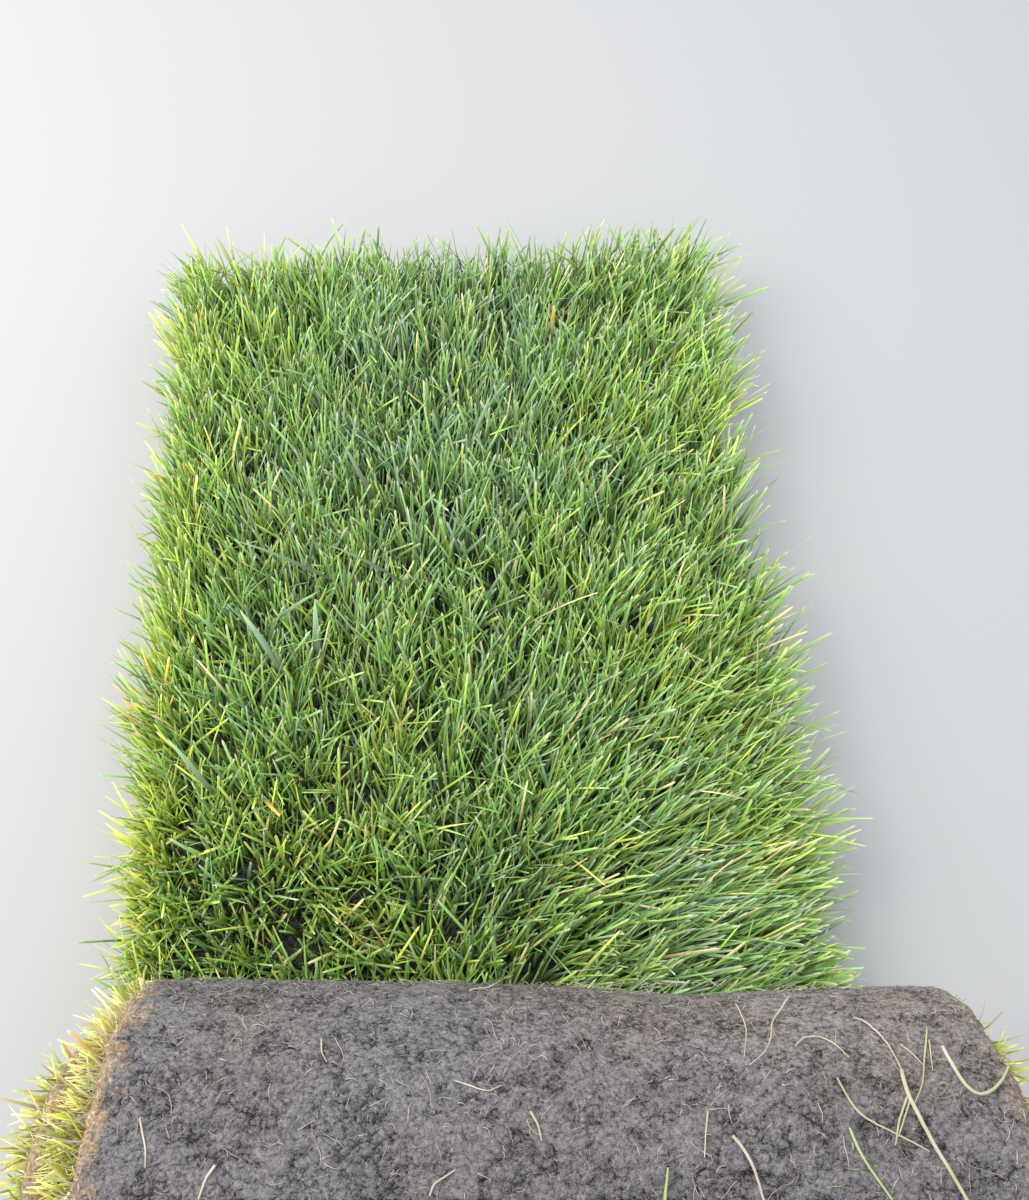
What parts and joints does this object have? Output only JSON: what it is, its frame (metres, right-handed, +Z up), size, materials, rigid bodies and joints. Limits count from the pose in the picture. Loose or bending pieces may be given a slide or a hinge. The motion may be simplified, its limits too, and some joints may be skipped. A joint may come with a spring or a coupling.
{
  "type": "roll of turf",
  "caption": "Partly unrolled roll of cultivated lawn turf: a wound strip of rooted soil, earth side out, with its far end laid flat and the grass standing up.",
  "frame": {"origin": "on the floor, at the middle of the bottom of the box around the whole object", "axes": "+X along the roll's axis, +Y from the wound roll towards the far cut end of the flat part, +Z up"},
  "size_m": [0.4826, 0.7782, 0.212],
  "materials": {
    "soil": "dark crumbly peaty soil bound by fine pale roots, matt",
    "grass": "fresh mown lawn grass, narrow green blades with a soft sheen"
  },
  "bodies": {
    "root": {"soil_mat": "soil", "grass_sward": "grass"}
  },
  "joints": []
}
